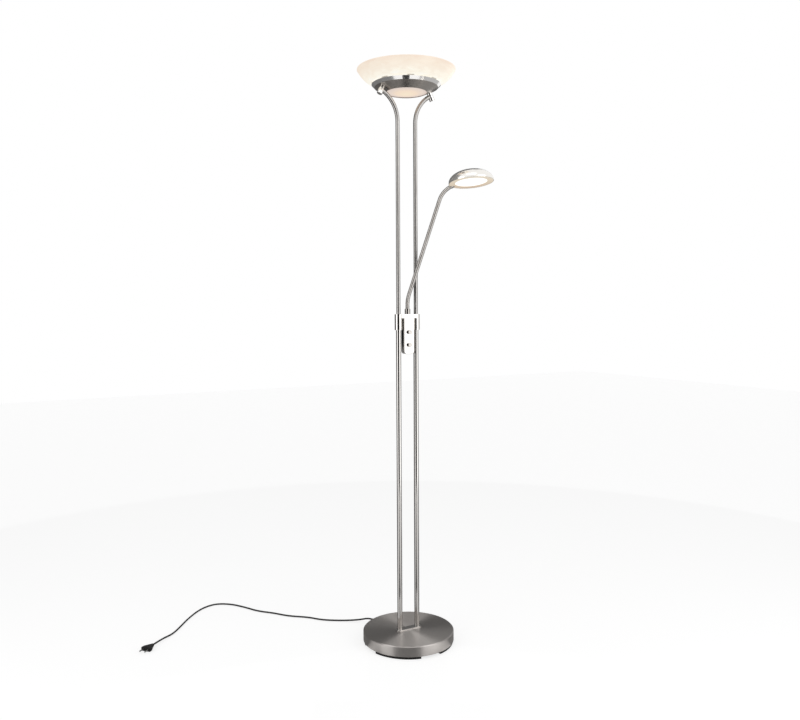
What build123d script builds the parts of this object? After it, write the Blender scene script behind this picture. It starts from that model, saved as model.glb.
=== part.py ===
from build123d import *
import os
from math import cos, sin, tan, radians, hypot, pi

os.makedirs("parts", exist_ok=True)

# A free-standing uplighter with two poles, a glass bowl on top and a reading light on a flexible
# arm. Millimetres. The origin is the centre of the base on the floor, +Z is up, the poles stand
# along X, the dimmer knobs face -Y and the mains cord leaves at the back.

# ---------------------------------------------------------------- driving dimensions
BASE_RADIUS = 145
BASE_TOP = 40
FOOT_HEIGHT = 8
POLE_X = 31.4
BRACKET_BOTTOM = 1000
BRACKET_TOP = 1049
ARM_TURN = -31
COLLAR_RADIUS = 107
HEAD_RADIUS = 69
CORD_DIAMETER = 5.5
FIT = 0.05
CLEAR = 0.3

# base
COVER_WALL = 2
COVER_CHAMFER = 2.5
FOOT_OUTER = 142
FOOT_INNER = 120
FOOT_WEB = 126
FOOT_GAP_ANGLE = 28
FOOT_COUNT = 4
PLATE_RADIUS = 142.5
PLATE_TOP = 10
WEIGHT_RADIUS = 136
WEIGHT_TOP = 27
WEIGHT_ROUND = 1.5
BOSS_RADIUS = 16
NUT_POCKET = 13
NUT_POCKET_TOP = 26
CHANNEL_WIDTH = 9
CHANNEL_TOP = 18
PLATE_SCREW_CIRCLE = 100
PLATE_SCREW_COUNT = 4
PLATE_SCREW_PHASE = 45
PLATE_SCREW = 2.2
PLATE_SCREW_TOP = 21
SCREW_HEAD = 4
SCREW_HEAD_DEPTH = 1.8
FOOT_PLATE_LENGTH = 90
FOOT_PLATE_WIDTH = 22
FOOT_PLATE_TOP = BASE_TOP + 3
FOOT_PLATE_CHAMFER = 0.5

# poles
STUD_RADIUS = 5
STUD_BORE = 3.4
STUD_BOTTOM = 18
STUD_TOP = 78
NUT_RADIUS = 9.8
NUT_HEIGHT = 6
WASHER_RADIUS = 11
WASHER_HEIGHT = 1.5
LOWER_TUBE = 8
LOWER_BORE = 6.8
UPPER_TUBE = 6.5
UPPER_BORE = 5.4
TUBE_STEP = 1026
UPPER_TUBE_BOTTOM = 988
UPPER_STRAIGHT_TOP = 1640
UPPER_BEND = 100
UPPER_BEND_ANGLE = 64
LEAD_RADIUS = 1.8
LEAD_BEND = 8
LEAD_Z = 13.8
LEAD_TOP = 1018
LEAD_FIRST_RUN = 20
LEAD_CORNER_Y = 40

# cross bracket and control box
SLEEVE_RADIUS = 12
SHELF_BOTTOM = 1037
SHELF_FRONT = -13
WEB_FRONT = 6.5
WEB_BACK = 9.5
SET_SCREW_RADIUS = 2.5
SET_SCREW_Z = 1012
BOX_HALF = 18
BOX_FRONT = -13
BOX_BACK = 4
BOX_BOTTOM = 925
BOX_TOP = 1036.8
BOX_CORNER = 9
BOX_ROUND = 2
BOX_WALL = 2
BOX_LID_BACK = 6.3
BOX_NUT_HOLE = 9.5
BOX_NUT_DEPTH = 8
BOX_BOSS_X = 12
BOX_BOSS = 3
BOX_BOSS_Z = (1018, 934)
BOX_SCREW = 1.5
KNOB_HEIGHTS = (993, 953)
KNOB_RADIUS = 7
KNOB_FRONT = -20.5
KNOB_BACK = -13.8
KNOB_ROUND = 0.9
KNOB_MARK = 0.5
SHAFT_RADIUS = 2
SHAFT_FRONT = -19
SHAFT_BACK = -6.5
SHAFT_ROOM = 1
BUSH_RADIUS = 3.5
BUSH_FRONT = -13.4
POT_HALF = 6
POT_FRONT = -11
BOARD_FRONT = -3
BOARD_BACK = -1.4
BOARD_HALF = 14
BOARD_BOTTOM = 941
BOARD_TOP = 1008
DRIVER_HALF = 12
DRIVER_BACK = 3
DRIVER_BOTTOM = 946
DRIVER_TOP = 1004

# reading arm
ARM_Y = -2
SOCKET_RADIUS = 8.75
SOCKET_BOTTOM = BRACKET_TOP + CLEAR
SOCKET_TOP = 1065.3
HOSE_SEAT = 10
NIPPLE_RADIUS = 5
NIPPLE_BOTTOM = 1030.5
NIPPLE_NUT = 8
NIPPLE_NUT_BOTTOM = 1031.5
NIPPLE_NUT_TOP = SHELF_BOTTOM - CLEAR
HOSE_CREST = 6.25
HOSE_VALLEY = 5.75
HOSE_BORE = 3.2
HOSE_STRAIGHT = 12.5
HOSE_LOW_RADIUS = 110
HOSE_LOW_ANGLE = 18.2
HOSE_RUN = 305
HOSE_HIGH_RADIUS = 70
HOSE_HIGH_ANGLE = 36
HOSE_END = 22
RIB_SHAPE = ((0, HOSE_VALLEY), (0.22, HOSE_CREST), (0.66, HOSE_CREST), (0.88, HOSE_VALLEY))
HOSE_PIECES = (
    ("hose_root", 4),
    ("hose_bend_low", 20),
    ("hose_lower_run", 30),
    ("hose_bend_mid", 20),
    ("hose_upper_run", 30),
    ("hose_bend_high", 20),
    ("hose_tip", 4),
)

# reading head, placed seen from the front left, where the arm's plane shows its full width
VIEW_TURN = -29.4
HEAD_ALONG = 197
HEAD_SIDE = -40
HEAD_Z = 1450
HEAD_TILT_ALONG = 4.4
HEAD_TILT_SIDE = 6.4
HEAD_LIP = 3
HEAD_DOME = 39
HEAD_WALL = 1.2
BEZEL_OUTER = 67.4
BEZEL_INNER = 49.5
BEZEL_BOTTOM = 0.4
BEZEL_TOP = 1.9
DIFFUSER_RADIUS = 54
DIFFUSER_TOP = 4.1
HEAD_BOARD_RADIUS = 40
HEAD_CHIP_RINGS = ((12, 6), (30, 12))
HEAD_CHIP_Z = 11.2
HEAD_BOARD_Z = 12
HEAD_SINK_Z = 13.6
HEAD_SINK_RADIUS = 42
HEAD_SINK_TOP = 20
HEAD_BOSS_RADIUS = 9
HEAD_BOSS_TOP = 37.3
NECK_RADIUS = 8
NECK_GRIP = 12
NECK_LENGTH = 21
NECK_WIRE = 2.6

# collar, lights and bowl
RING_RADIUS = 63.6
RING_Z = 1729.8
SLOPE_RADIUS = 98
SLOPE_Z = 1745
LIP_Z = 1754
COLLAR_WALL = 1.6
LIP_WALL = 2.2
KNUCKLE_RADIUS = 8.3
KNUCKLE_ABOVE = 14
KNUCKLE_BELOW = 15
KNUCKLE_ROUND = 0.8
LINK_RADIUS = 4
LINK_BORE = 2.6
LINK_BOTTOM = 1.5
LINK_TOP = 16.6
LINK_NUT = 6.4
LINK_NUT_BOTTOM = 11.6
LINK_NUT_TOP = 15
SPACER_COUNT = 8
SPACER_PHASE = 22.5
SPACER_ANGLE = 11.2
LENS_RADIUS = 65.4
LENS_EDGE_Z = 1732.9
LENS_CENTRE_Z = 1726
LENS_WALL = 2.5
LENS_SLOPE = 0.2
CARRIER_RADIUS = 96.6
CARRIER_BOTTOM = 1746.5
CARRIER_TOP = 1749
CARRIER_WIRE = 8
SINK_RADIUS = 62
SINK_TOP = 1755
BOARD_UP_RADIUS = 58
BOARD_THICK = 1.6
CHIP = 3.5
CHIP_HEIGHT = 0.8
UP_CHIP_RINGS = ((18, 8), (33, 12), (48, 18))
DOWN_CHIP_RINGS = ((20, 8), (34, 12))
DOWN_BOARD_RADIUS = 42
GASKET_TOP = 1750.4
GASKET_INSET = 1
BOWL_HOLE = 78
BOWL_FLAT = 88
BOWL_WALL = 4.2
BOWL_RIM = 5.25
BOWL_RIM_SLOPE = (0.6, 0.8)
BOWL_PROFILE = (
    (95.9, 1753),
    (111.5, 1760),
    (128.1, 1770),
    (138.6, 1780),
    (146.3, 1790),
    (153.2, 1800),
)
OPAL_FLANGE = 86
OPAL_RADIUS = 70
OPAL_WALL = 2
OPAL_HEIGHT = 18
CLAMP_INNER = 71.5
CLAMP_HEIGHT = 1.6
BOWL_SCREW_CIRCLE = 74
BOWL_SCREW_COUNT = 3
BOWL_SCREW_PHASE = 90
BOWL_SCREW = 1.5
BOWL_SCREW_HEAD = 2.4

# cord
CORD_RADIUS = CORD_DIAMETER / 2
GLAND_AZIMUTH = 102
GLAND_Z = 16.5
GLAND_HOLE = 4.6
GLAND_NECK = 4.4
GLAND_FLANGE = 5.8
GLAND_FLANGE_THICK = 2.5
GLAND_TIP = 3.1
GLAND_LENGTH = 22
CORD_FIRST_RUN = 31
CORD_TURN_SHARE = 0.45
CORD_Z = 3
CORD_DROP = (-70, 215, 8)
CORD_CORNERS = (
    (-117, 249),
    (-176, 290),
    (-205, 335),
    (-262, 380),
    (-297, 433),
    (-338, 476),
    (-366, 535),
    (-398, 588),
    (-440, 618),
    (-478, 614),
    (-520, 588),
    (-572, 530),
    (-614, 471),
    (-650, 425),
)
PLUG_Z = 7
PLUG_TURN = (-688, 396)
PLUG_REAR = (-726, 362.4)
PLUG_SECTIONS = ((0, 9, 8, 3.5), (12, 18, 12, 5), (27, 33, 13.7, 5), (36, 35.3, 13.7, 5))
PIN_RADIUS = 2
PIN_LENGTH = 19
PIN_SPACING = 18.6
PIN_GRIP = 8

BASE_WALL_IN = BASE_RADIUS - COVER_WALL


# ---------------------------------------------------------------- base
with BuildPart() as foot_ring:
    with BuildSketch():
        Circle(FOOT_OUTER)
        Circle(FOOT_INNER, mode=Mode.SUBTRACT)
        # four gaps leave four long pads on one inner web
        with BuildSketch(mode=Mode.PRIVATE) as gap:
            with BuildLine():
                half = radians(FOOT_GAP_ANGLE / 2)
                reach = FOOT_OUTER + FOOT_GAP_ANGLE
                Polyline(
                    (0, 0),
                    (reach * cos(half), -reach * sin(half)),
                    (reach * cos(half), reach * sin(half)),
                    close=True,
                )
            make_face()
            Circle(FOOT_WEB, mode=Mode.SUBTRACT)
        with PolarLocations(0, FOOT_COUNT):
            add(gap.sketch, mode=Mode.SUBTRACT)
    extrude(amount=FOOT_HEIGHT)
foot_ring.part.label = "foot_ring"

with BuildPart() as base_plate:
    with BuildSketch(Plane.XY.offset(FOOT_HEIGHT)):
        Circle(PLATE_RADIUS)
        with PolarLocations(PLATE_SCREW_CIRCLE, PLATE_SCREW_COUNT, start_angle=PLATE_SCREW_PHASE):
            Circle(PLATE_SCREW + CLEAR, mode=Mode.SUBTRACT)
    extrude(amount=PLATE_TOP - FOOT_HEIGHT)
base_plate.part.label = "base_plate"

gland_out = Vector(cos(radians(GLAND_AZIMUTH)), sin(radians(GLAND_AZIMUTH)), 0)
gland_at = Vector(0, 0, GLAND_Z) + gland_out * BASE_RADIUS
gland_plane = Plane(origin=gland_at, x_dir=(0, 0, 1), z_dir=gland_out)

with BuildPart() as base_cover:
    with BuildSketch(Plane.XZ):
        with BuildLine():
            Polyline(
                (0, BASE_TOP),
                (BASE_RADIUS - COVER_CHAMFER, BASE_TOP),
                (BASE_RADIUS, BASE_TOP - COVER_CHAMFER),
                (BASE_RADIUS, FOOT_HEIGHT),
                (BASE_WALL_IN, FOOT_HEIGHT),
                (BASE_WALL_IN, BASE_TOP - COVER_WALL),
                (0, BASE_TOP - COVER_WALL),
                close=True,
            )
        make_face()
    revolve(axis=Axis.Z)
    with BuildSketch(Plane.XY.offset(BASE_TOP)):
        with GridLocations(2 * POLE_X, 1, 2, 1):
            Circle(STUD_RADIUS + CLEAR)
    extrude(amount=-2 * COVER_WALL, mode=Mode.SUBTRACT)
    with BuildSketch(gland_plane):
        Circle(GLAND_HOLE)
    extrude(amount=3 * COVER_WALL, both=True, mode=Mode.SUBTRACT)
base_cover.part.label = "base_cover"

lead_path = (
    tuple(gland_out * (BASE_WALL_IN - GLAND_FLANGE_THICK - 2 * CLEAR))[:2],
    tuple(gland_out * (BASE_RADIUS - LEAD_FIRST_RUN))[:2],
    (-POLE_X, LEAD_CORNER_Y),
    (-POLE_X, 0),
)

with BuildPart() as base_weight:
    with BuildSketch(Plane.XY.offset(PLATE_TOP)):
        Circle(WEIGHT_RADIUS)
    extrude(amount=WEIGHT_TOP - PLATE_TOP)
    fillet(base_weight.edges().filter_by(GeomType.CIRCLE), radius=WEIGHT_ROUND)
    # bosses carry the cover's top and clamp it under the poles
    with BuildSketch(Plane.XY.offset(WEIGHT_TOP - WEIGHT_ROUND)):
        with GridLocations(2 * POLE_X, 1, 2, 1):
            Circle(BOSS_RADIUS)
    extrude(amount=BASE_TOP - COVER_WALL - WEIGHT_TOP + WEIGHT_ROUND)
    with BuildSketch(Plane.XY.offset(BASE_TOP)):
        with GridLocations(2 * POLE_X, 1, 2, 1):
            Circle(STUD_RADIUS + CLEAR)
    extrude(amount=-BASE_TOP, mode=Mode.SUBTRACT)
    with BuildSketch(Plane.XY.offset(PLATE_TOP)):
        with GridLocations(2 * POLE_X, 1, 2, 1):
            Circle(NUT_POCKET)
    extrude(amount=NUT_POCKET_TOP - PLATE_TOP, mode=Mode.SUBTRACT)
    with BuildSketch(Plane.XY.offset(PLATE_TOP)):
        with PolarLocations(PLATE_SCREW_CIRCLE, PLATE_SCREW_COUNT, start_angle=PLATE_SCREW_PHASE):
            Circle(PLATE_SCREW + CLEAR)
    extrude(amount=PLATE_SCREW_TOP - PLATE_TOP + CLEAR, mode=Mode.SUBTRACT)
    # channel for the mains lead, from the gland to the left pole
    with BuildSketch(Plane.XY.offset(PLATE_TOP)):
        with BuildLine():
            Polyline(*lead_path)
        trace(line_width=CHANNEL_WIDTH)
    extrude(amount=CHANNEL_TOP - PLATE_TOP, mode=Mode.SUBTRACT)
base_weight.part.label = "base_weight"

with BuildPart() as base_screws:
    with BuildSketch(Plane.XY.offset(FOOT_HEIGHT)):
        with PolarLocations(PLATE_SCREW_CIRCLE, PLATE_SCREW_COUNT, start_angle=PLATE_SCREW_PHASE):
            Circle(SCREW_HEAD)
    extrude(amount=-SCREW_HEAD_DEPTH)
    with BuildSketch(Plane.XY.offset(FOOT_HEIGHT)):
        with PolarLocations(PLATE_SCREW_CIRCLE, PLATE_SCREW_COUNT, start_angle=PLATE_SCREW_PHASE):
            Circle(PLATE_SCREW)
    extrude(amount=PLATE_SCREW_TOP - FOOT_HEIGHT)
base_screws.part.label = "base_screws"

with BuildPart() as foot_plate:
    with BuildSketch(Plane.XY.offset(BASE_TOP)):
        SlotOverall(FOOT_PLATE_LENGTH, FOOT_PLATE_WIDTH)
        with GridLocations(2 * POLE_X, 1, 2, 1):
            Circle(STUD_RADIUS + CLEAR, mode=Mode.SUBTRACT)
    extrude(amount=FOOT_PLATE_TOP - BASE_TOP)
    chamfer(foot_plate.faces().sort_by(Axis.Z)[-1].outer_wire().edges(), length=FOOT_PLATE_CHAMFER)
foot_plate.part.label = "foot_plate"


# ---------------------------------------------------------------- poles
def pair_ring(label, bottom, top, outer, bore):
    """A ring, rod or tube on each pole's axis."""
    with BuildPart() as piece:
        with BuildSketch(Plane.XY.offset(bottom)):
            with GridLocations(2 * POLE_X, 1, 2, 1):
                Circle(outer)
                Circle(bore, mode=Mode.SUBTRACT)
        extrude(amount=top - bottom)
    piece.part.label = label
    return piece.part


with BuildPart() as pole_studs:
    for bottom, top, outer in (
        (STUD_BOTTOM, FOOT_PLATE_TOP, STUD_RADIUS),
        (FOOT_PLATE_TOP, STUD_TOP, LOWER_BORE - FIT),
    ):
        with BuildSketch(Plane.XY.offset(bottom)):
            with GridLocations(2 * POLE_X, 1, 2, 1):
                Circle(outer)
                Circle(STUD_BORE, mode=Mode.SUBTRACT)
        extrude(amount=top - bottom)
pole_studs.part.label = "pole_studs"

nut_top = NUT_POCKET_TOP - WASHER_HEIGHT
with BuildPart() as stud_nuts:
    with BuildSketch(Plane.XY.offset(nut_top - NUT_HEIGHT)):
        with GridLocations(2 * POLE_X, 1, 2, 1):
            RegularPolygon(radius=NUT_RADIUS, side_count=6)
    extrude(amount=NUT_HEIGHT)
    with BuildSketch(Plane.XY.offset(nut_top)):
        with GridLocations(2 * POLE_X, 1, 2, 1):
            Circle(WASHER_RADIUS)
    extrude(amount=WASHER_HEIGHT)
    with BuildSketch(Plane.XY.offset(NUT_POCKET_TOP)):
        with GridLocations(2 * POLE_X, 1, 2, 1):
            Circle(STUD_RADIUS + FIT)
    extrude(amount=-NUT_HEIGHT - WASHER_HEIGHT, mode=Mode.SUBTRACT)
stud_nuts.part.label = "stud_nuts"


def pole_run(side, bottom):
    """Centre line of an upper tube: straight up, then bent outward."""
    with BuildLine(Plane.XZ) as run:
        Line((side * POLE_X, bottom), (side * POLE_X, UPPER_STRAIGHT_TOP))
        CenterArc(
            center=(side * (POLE_X + UPPER_BEND), UPPER_STRAIGHT_TOP),
            radius=UPPER_BEND,
            start_angle=90 + 90 * side,
            arc_size=-UPPER_BEND_ANGLE * side,
        )
    return run.line


lower_tubes = pair_ring("lower_tubes", FOOT_PLATE_TOP, TUBE_STEP, LOWER_TUBE, LOWER_BORE)

with BuildPart() as upper_tubes:
    for side in (-1, 1):
        with BuildSketch(Plane.XY.offset(UPPER_TUBE_BOTTOM)):
            with Locations((side * POLE_X, 0)):
                Circle(UPPER_TUBE)
                Circle(UPPER_BORE, mode=Mode.SUBTRACT)
        sweep(path=pole_run(side, UPPER_TUBE_BOTTOM))
upper_tubes.part.label = "upper_tubes"

with BuildPart() as uplight_lead:
    with BuildSketch(Plane.XY.offset(TUBE_STEP)):
        with Locations((POLE_X, 0)):
            Circle(LEAD_RADIUS)
    sweep(path=pole_run(1, TUBE_STEP))
uplight_lead.part.label = "uplight_lead"

with BuildPart() as mains_lead:
    with BuildLine() as lead_line:
        FilletPolyline(
            *[(x, y, LEAD_Z) for x, y in lead_path],
            (-POLE_X, 0, LEAD_TOP),
            radius=LEAD_BEND,
        )
    lead_start = lead_line.line @ 0
    with BuildSketch(Plane(origin=lead_start, z_dir=lead_line.line % 0)):
        Circle(LEAD_RADIUS)
    sweep(path=lead_line.wire())
mains_lead.part.label = "mains_lead"


# ---------------------------------------------------------------- cross bracket
bore_heights = (BRACKET_BOTTOM, TUBE_STEP, BRACKET_TOP)
with BuildPart() as cross_bracket:
    with BuildSketch(Plane.XY.offset(BRACKET_BOTTOM)):
        with GridLocations(2 * POLE_X, 1, 2, 1):
            Circle(SLEEVE_RADIUS)
        with Locations((0, (WEB_FRONT + WEB_BACK) / 2)):
            Rectangle(2 * POLE_X, WEB_BACK - WEB_FRONT)
    extrude(amount=BRACKET_TOP - BRACKET_BOTTOM)
    with BuildSketch(Plane.XY.offset(SHELF_BOTTOM)):
        with Locations((0, (SHELF_FRONT + WEB_BACK) / 2)):
            Rectangle(2 * (POLE_X - LOWER_TUBE / 2), WEB_BACK - SHELF_FRONT)
    extrude(amount=BRACKET_TOP - SHELF_BOTTOM)
    with BuildSketch(Plane.XY.offset(BRACKET_BOTTOM)):
        with GridLocations(2 * POLE_X, 1, 2, 1):
            Circle(LOWER_TUBE + FIT)
    extrude(amount=TUBE_STEP - BRACKET_BOTTOM, mode=Mode.SUBTRACT)
    with BuildSketch(Plane.XY.offset(TUBE_STEP)):
        with GridLocations(2 * POLE_X, 1, 2, 1):
            Circle(UPPER_TUBE + FIT)
    extrude(amount=BRACKET_TOP - TUBE_STEP, mode=Mode.SUBTRACT)
    with BuildSketch(Plane.XY.offset(BRACKET_TOP)):
        with Locations((0, ARM_Y)):
            Circle(NIPPLE_RADIUS + FIT)
    extrude(amount=SHELF_BOTTOM - BRACKET_TOP, mode=Mode.SUBTRACT)
    # tapped holes for the set screws, through the back of the sleeves
    with BuildSketch(Plane.XZ.offset(-SLEEVE_RADIUS)):
        with GridLocations(2 * POLE_X, 1, 2, 1):
            with Locations((0, SET_SCREW_Z)):
                Circle(SET_SCREW_RADIUS + FIT)
    extrude(amount=SLEEVE_RADIUS - LOWER_TUBE / 2, mode=Mode.SUBTRACT)
    with BuildSketch(Plane.XZ.offset(-WEB_BACK)):
        with Locations((-BOX_BOSS_X, BOX_BOSS_Z[0]), (BOX_BOSS_X, BOX_BOSS_Z[0])):
            Circle(BOX_SCREW + CLEAR)
    extrude(amount=WEB_BACK - WEB_FRONT, mode=Mode.SUBTRACT)
cross_bracket.part.label = "cross_bracket"

with BuildPart() as bracket_set_screws:
    with BuildSketch(Plane.XZ.offset(FIT - SLEEVE_RADIUS)):
        with GridLocations(2 * POLE_X, 1, 2, 1):
            with Locations((0, SET_SCREW_Z)):
                Circle(SET_SCREW_RADIUS)
    extrude(amount=SLEEVE_RADIUS - LOWER_TUBE - CLEAR)
bracket_set_screws.part.label = "bracket_set_screws"


# ---------------------------------------------------------------- control box
box_middle_z = (BOX_BOTTOM + BOX_TOP) / 2
box_height = BOX_TOP - BOX_BOTTOM
boss_points = [(side * BOX_BOSS_X, z) for side in (-1, 1) for z in BOX_BOSS_Z]


def box_outline(back, margin):
    """Front view of the control box, rounded at its two lower corners."""
    with BuildSketch(Plane.XZ.offset(-back)) as outline:
        with Locations((0, box_middle_z)):
            Rectangle(2 * (BOX_HALF - margin), box_height - 2 * margin)
        fillet(outline.vertices().group_by(Axis.Y)[0], radius=BOX_CORNER - margin)
    return outline.sketch


with BuildPart() as control_box:
    extrude(box_outline(BOX_BACK, 0), amount=BOX_BACK - BOX_FRONT, dir=(0, -1, 0))
    fillet(control_box.edges().group_by(Axis.Y)[0], radius=BOX_ROUND)
    cavity = box_outline(BOX_BACK, BOX_WALL)
    extrude(cavity, amount=BOX_BACK - BOX_FRONT - BOX_WALL, dir=(0, -1, 0), mode=Mode.SUBTRACT)
    # bosses for the two pairs of screws
    with BuildSketch(Plane.XZ.offset(-BOX_BACK)):
        with Locations(*boss_points):
            Circle(BOX_BOSS)
    extrude(amount=BOX_BACK - BOX_FRONT - BOX_WALL / 2)
    with BuildSketch(Plane.XZ.offset(-BOX_BACK)):
        with Locations(*boss_points):
            Circle(BOX_SCREW + FIT)
    extrude(amount=BOX_BACK - BOX_FRONT - 2 * BOX_WALL, mode=Mode.SUBTRACT)
    # holes for the dimmers' bushes and for the arm's nut
    with BuildSketch(Plane.XZ.offset(-BOX_FRONT)):
        with Locations(*[(0, z) for z in KNOB_HEIGHTS]):
            Circle(BUSH_RADIUS + FIT)
    extrude(amount=-2 * BOX_WALL, mode=Mode.SUBTRACT)
    with BuildSketch(Plane.XY.offset(BOX_TOP)):
        with Locations((0, ARM_Y)):
            Circle(BOX_NUT_HOLE)
    extrude(amount=-BOX_NUT_DEPTH, mode=Mode.SUBTRACT)
control_box.part.label = "control_box"

with BuildPart() as control_back:
    extrude(box_outline(BOX_LID_BACK, 0), amount=BOX_LID_BACK - BOX_BACK, dir=(0, -1, 0))
    with BuildSketch(Plane.XZ.offset(-BOX_LID_BACK)):
        with Locations(*boss_points):
            Circle(BOX_SCREW + CLEAR)
    extrude(amount=BOX_LID_BACK - BOX_BACK, mode=Mode.SUBTRACT)
    with BuildSketch(Plane.XY.offset(BOX_TOP)):
        with Locations((0, ARM_Y)):
            Circle(BOX_NUT_HOLE)
    extrude(amount=-BOX_NUT_DEPTH, mode=Mode.SUBTRACT)
control_back.part.label = "control_back"

with BuildPart() as box_screws:
    for height, seat in zip(BOX_BOSS_Z, (WEB_BACK, BOX_LID_BACK)):
        with BuildSketch(Plane.XZ.offset(-seat - SCREW_HEAD_DEPTH)):
            with Locations((-BOX_BOSS_X, height), (BOX_BOSS_X, height)):
                Circle(2 * BOX_SCREW)
        extrude(amount=SCREW_HEAD_DEPTH)
        with BuildSketch(Plane.XZ.offset(-seat)):
            with Locations((-BOX_BOSS_X, height), (BOX_BOSS_X, height)):
                Circle(BOX_SCREW)
        extrude(amount=seat - BOX_FRONT - 3 * BOX_WALL)
box_screws.part.label = "box_screws"

with BuildPart() as dimmer_board:
    with BuildSketch(Plane.XZ.offset(-BOARD_BACK)):
        with Locations((0, (BOARD_BOTTOM + BOARD_TOP) / 2)):
            Rectangle(2 * BOARD_HALF, BOARD_TOP - BOARD_BOTTOM)
    extrude(amount=BOARD_BACK - BOARD_FRONT)
    # the potted driver sits on the board's back
    with BuildSketch(Plane.XZ.offset(-DRIVER_BACK)):
        with Locations((0, (DRIVER_BOTTOM + DRIVER_TOP) / 2)):
            Rectangle(2 * DRIVER_HALF, DRIVER_TOP - DRIVER_BOTTOM)
    extrude(amount=DRIVER_BACK - BOARD_BACK)
dimmer_board.part.label = "dimmer_board"

knob_points = [(0, z) for z in KNOB_HEIGHTS]
with BuildPart() as dimmer_pots:
    with BuildSketch(Plane.XZ.offset(-BOARD_FRONT)):
        with Locations(*knob_points):
            Rectangle(2 * POT_HALF, 2 * POT_HALF)
    extrude(amount=BOARD_FRONT - POT_FRONT)
    with BuildSketch(Plane.XZ.offset(-POT_FRONT)):
        with Locations(*knob_points):
            Circle(BUSH_RADIUS)
    extrude(amount=POT_FRONT - BUSH_FRONT)
    with BuildSketch(Plane.XZ.offset(-BUSH_FRONT)):
        with Locations(*knob_points):
            Circle(SHAFT_RADIUS + FIT)
    extrude(amount=BUSH_FRONT - SHAFT_BACK - SHAFT_ROOM, mode=Mode.SUBTRACT)
dimmer_pots.part.label = "dimmer_pots"


def knob(label, height):
    """Turned dimmer knob with a bore for its shaft and a line cut in its face."""
    with BuildPart() as piece:
        with BuildSketch(Plane.XZ.offset(-KNOB_BACK)):
            with Locations((0, height)):
                Circle(KNOB_RADIUS)
        extrude(amount=KNOB_BACK - KNOB_FRONT)
        rim = piece.faces().sort_by(Axis.Y)[0].edges()
        fillet(rim, radius=KNOB_ROUND)
        with BuildSketch(Plane.XZ.offset(-KNOB_FRONT)):
            with Locations((0, height + KNOB_RADIUS / 2)):
                Rectangle(KNOB_MARK * 2, KNOB_RADIUS / 2)
        extrude(amount=-KNOB_MARK, mode=Mode.SUBTRACT)
        with BuildSketch(Plane.XZ.offset(-KNOB_BACK)):
            with Locations((0, height)):
                Circle(SHAFT_RADIUS + FIT)
        extrude(amount=KNOB_BACK - SHAFT_FRONT, mode=Mode.SUBTRACT)
    piece.part.label = label
    return piece.part


def knob_shaft(label, height):
    """Shaft of one dimmer, from inside the knob into the dimmer's bush."""
    with BuildPart() as piece:
        with BuildSketch(Plane.XZ.offset(-SHAFT_BACK)):
            with Locations((0, height)):
                Circle(SHAFT_RADIUS)
        extrude(amount=SHAFT_BACK - SHAFT_FRONT)
    piece.part.label = label
    return piece.part


upper_knob = knob("upper_knob", KNOB_HEIGHTS[0])
upper_knob_shaft = knob_shaft("upper_knob_shaft", KNOB_HEIGHTS[0])
lower_knob = knob("lower_knob", KNOB_HEIGHTS[1])
lower_knob_shaft = knob_shaft("lower_knob_shaft", KNOB_HEIGHTS[1])


# ---------------------------------------------------------------- reading arm
def arm_ring(label, bands):
    """Turned piece on the swivel's axis, from (bottom, top, outer, bore) bands."""
    with BuildPart() as piece:
        for bottom, top, outer, bore in bands:
            with BuildSketch(Plane.XY.offset(bottom)):
                with Locations((0, ARM_Y)):
                    Circle(outer)
                    Circle(bore, mode=Mode.SUBTRACT)
            extrude(amount=top - bottom)
    piece.part.label = label
    return piece.part


hose_start = SOCKET_TOP - HOSE_SEAT
gooseneck_socket = arm_ring(
    "gooseneck_socket",
    (
        (SOCKET_BOTTOM, hose_start, SOCKET_RADIUS, NIPPLE_RADIUS + FIT),
        (hose_start, SOCKET_TOP, SOCKET_RADIUS, HOSE_CREST + FIT),
    ),
)
gooseneck_nipple = arm_ring(
    "gooseneck_nipple", ((NIPPLE_BOTTOM, hose_start, NIPPLE_RADIUS, HOSE_BORE),)
)

with BuildPart() as nipple_nut:
    with BuildSketch(Plane.XY.offset(NIPPLE_NUT_BOTTOM)):
        with Locations((0, ARM_Y)):
            RegularPolygon(radius=NIPPLE_NUT, side_count=6)
            Circle(NIPPLE_RADIUS + FIT, mode=Mode.SUBTRACT)
    extrude(amount=NIPPLE_NUT_TOP - NIPPLE_NUT_BOTTOM)
nipple_nut.part.label = "nipple_nut"

arm_along = Vector(cos(radians(ARM_TURN)), sin(radians(ARM_TURN)), 0)
arm_across = Vector(-sin(radians(ARM_TURN)), cos(radians(ARM_TURN)), 0)
HOSE_PATH = (
    (HOSE_SEAT + HOSE_STRAIGHT, 0),
    (HOSE_LOW_RADIUS * radians(HOSE_LOW_ANGLE), HOSE_LOW_RADIUS),
    (HOSE_RUN, 0),
    (HOSE_HIGH_RADIUS * radians(HOSE_HIGH_ANGLE), HOSE_HIGH_RADIUS),
    (HOSE_END, 0),
)
hose_length = sum(length for length, radius in HOSE_PATH)
rib_pitch = hose_length / sum(count for label, count in HOSE_PIECES)


def arm_at(distance):
    """Plane square to the hose, this far along its centre line."""
    along = 0
    up = hose_start
    turn = 0
    left = distance
    for length, radius in HOSE_PATH:
        step = min(left, length)
        if radius:
            swing = step / radius
            along += radius * (cos(turn) - cos(turn + swing))
            up += radius * (sin(turn + swing) - sin(turn))
            turn += swing
        else:
            along += step * sin(turn)
            up += step * cos(turn)
        left -= step
    place = Vector(0, ARM_Y, up) + arm_along * along
    heading = Vector(0, 0, cos(turn)) + arm_along * sin(turn)
    return Plane(origin=place, x_dir=arm_across, z_dir=heading)


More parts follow.
